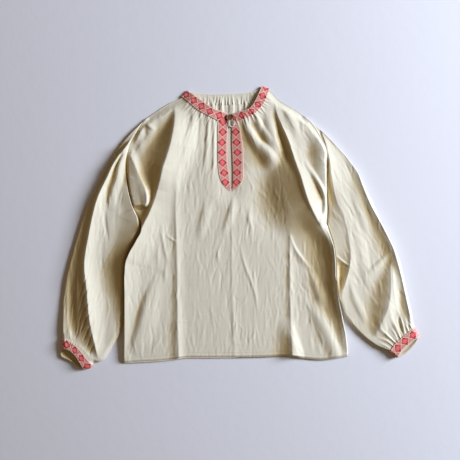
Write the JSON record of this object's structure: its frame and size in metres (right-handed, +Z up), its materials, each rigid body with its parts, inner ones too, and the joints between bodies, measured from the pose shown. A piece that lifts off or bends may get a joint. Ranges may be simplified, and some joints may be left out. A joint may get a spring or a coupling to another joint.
{
  "type": "folk shirt",
  "caption": "Folk shirt laid flat, of unbleached cloth gathered at neck and cuffs, with lozenge ribbon round the neck, the buttoned slit and the cuffs.",
  "frame": {"origin": "middle of the garment's outline, on the surface it lies on", "axes": "+Y from the hem towards the neck, +X towards the viewer's right, +Z up out of the front"},
  "size_m": [0.7935, 0.6216, 0.0277],
  "materials": {
    "cloth": "unbleached plain weave, matt",
    "ribbon": "woven ribbon, red lozenges and pale lattice lines",
    "button": "dark brown, satin",
    "loop": "cream thread, twisted"
  },
  "bodies": {
    "root": {"front_panel": "cloth", "back_panel": "cloth", "sleeve_left": "cloth", "sleeve_right": "cloth", "neck_ribbon": "ribbon", "placket_ribbon_left": "ribbon", "placket_ribbon_right": "ribbon", "cuff_ribbon_left": "ribbon", "cuff_ribbon_right": "ribbon", "button": "button", "button_loop": "loop"}
  },
  "joints": []
}
